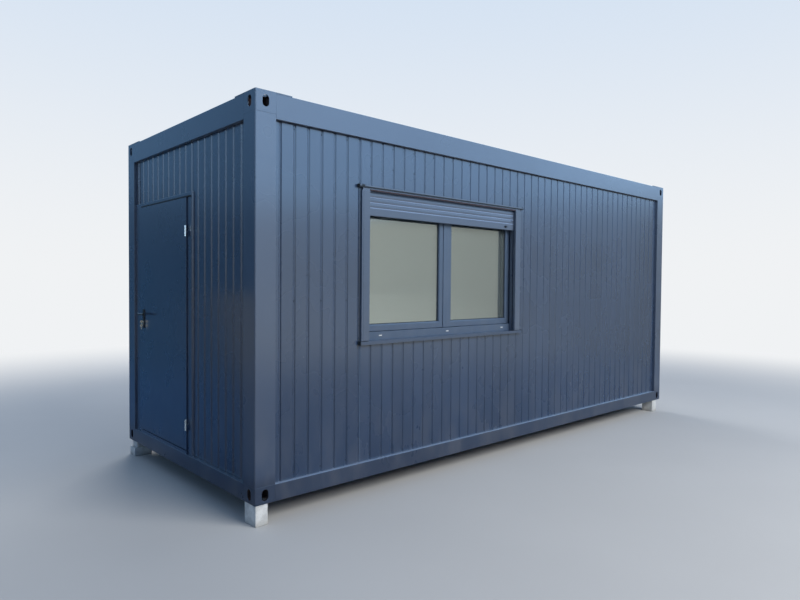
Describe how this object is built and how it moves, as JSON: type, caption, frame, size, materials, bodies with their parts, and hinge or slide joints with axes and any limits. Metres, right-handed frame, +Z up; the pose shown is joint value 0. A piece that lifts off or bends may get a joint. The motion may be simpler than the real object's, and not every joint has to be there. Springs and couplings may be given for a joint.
{
  "type": "portable site cabin",
  "caption": "Flat-roofed steel-framed site cabin with profiled cladding, corner fittings, an end door with lever handle and a long-side window under a roller shutter, on blocks",
  "frame": {"origin": "on the ground under the middle of the cabin's bounding box", "axes": "+X along the length, away from the door end; +Y across, away from the window side; +Z up"},
  "size_m": [6.115, 2.438, 2.969],
  "materials": {
    "frame": "satin anthracite coat on welded steel",
    "cladding": "satin anthracite coil-coated sheet",
    "galvanised": "galvanised steel",
    "lining": "white faced board",
    "deck": "grey sheet flooring on board",
    "window_profile": "anthracite window profile",
    "glass": "clear double glazing",
    "shutter": "anthracite coated aluminium",
    "door_skin": "satin anthracite coated steel",
    "black_furniture": "black door furniture",
    "bright_metal": "nickel plated",
    "concrete": "cast concrete"
  },
  "bodies": {
    "cabin": {"back_wall": "cladding", "back_wall_lining": "lining", "bottom_corner_fittings": "frame", "bottom_rail_back": "frame", "bottom_rail_door_end": "frame", "bottom_rail_far_end": "frame", "bottom_rail_front": "frame", "ceiling": "lining", "door_frame": "door_skin", "door_hinges_fixed": "galvanised", "door_threshold": "galvanised", "door_wall_lining": "lining", "door_wall_narrow": "cladding", "door_wall_over_door": "cladding", "door_wall_wide": "cladding", "far_end_wall": "cladding", "far_end_wall_lining": "lining", "floor_cross_members": "frame", "floor_deck": "deck", "foundation_blocks": "concrete", "front_wall_left": "cladding", "front_wall_lining": "lining", "front_wall_over_window": "cladding", "front_wall_right": "cladding", "front_wall_under_window": "cladding", "packing_block": "concrete", "post_door_back": "frame", "post_door_front": "frame", "post_far_back": "frame", "post_far_front": "frame", "roof_joists": "galvanised", "roof_sheet": "galvanised", "shutter_bottom_bar": "shutter", "shutter_box": "shutter", "shutter_curtain": "shutter", "shutter_guide_left": "shutter", "shutter_guide_right": "shutter", "top_corner_fittings": "frame", "top_rail_back": "frame", "top_rail_door_end": "frame", "top_rail_far_end": "frame", "top_rail_front": "frame", "window_drip_cap": "shutter", "window_frame": "window_profile", "window_glass": "glass", "window_handle": "lining", "window_sash_left": "window_profile", "window_sash_right": "window_profile", "window_sill": "shutter"},
    "door": {"door_leaf": "door_skin", "door_hinges_moving": "galvanised", "door_furniture_plates": "black_furniture", "door_lock_cylinder": "bright_metal", "door_keys": "bright_metal"},
    "lever": {"door_levers": "black_furniture"}
  },
  "joints": [
    {"name": "door_hinge", "type": "hinge", "parent": "cabin", "child": "door", "pos_m": [-3.0045, -0.107, 1.296], "axis": [0, 0, 1], "range_deg": [0, 165]},
    {"name": "lever_turn", "type": "hinge", "parent": "door", "child": "lever", "pos_m": [-3.0475, 0.831, 1.374], "axis": [1, 0, 0], "range_deg": [0, 38], "stiffness_Nm_per_rad": 1.5, "springref_deg": -17.19}
  ]
}
